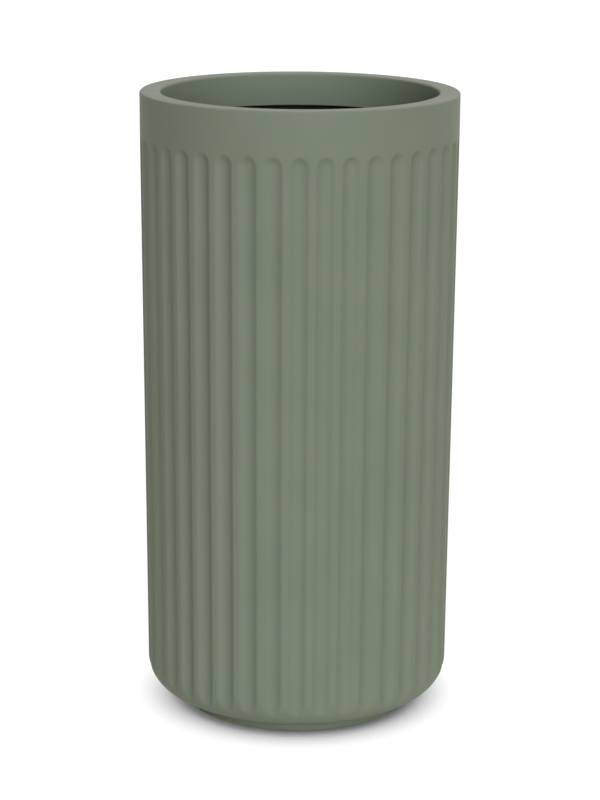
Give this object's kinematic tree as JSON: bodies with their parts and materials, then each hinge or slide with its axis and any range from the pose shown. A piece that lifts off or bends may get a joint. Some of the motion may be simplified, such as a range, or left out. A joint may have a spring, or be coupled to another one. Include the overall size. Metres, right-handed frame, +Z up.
{
  "type": "tall fluted floor planter",
  "caption": "Tall round floor planter in moulded fibreglass: fluted wall with arched tops, plain band, flat rim with turned-down lip, recessed foot and drain plug.",
  "frame": {"origin": "on the floor, at the centre of the foot", "axes": "+Z up along the planter's axis, -Y towards the viewer of the picture, with one flute facing it"},
  "size_m": [0.4, 0.4, 0.795],
  "materials": {
    "painted_fibreglass": "matte sage green paint on moulded fibreglass",
    "raw_fibreglass": "unpainted black laminate",
    "plug_rubber": "soft black rubber"
  },
  "bodies": {
    "planter": {"fluted_shell": "painted_fibreglass", "rim_collar": "painted_fibreglass", "foot_ring": "painted_fibreglass", "floor_pan": "raw_fibreglass"},
    "plug": {"drain_plug": "plug_rubber"}
  },
  "joints": [
    {"name": "plug_pull", "type": "slide", "parent": "planter", "child": "plug", "axis": [0, 0, 1], "range_m": [0, 0.8]}
  ]
}
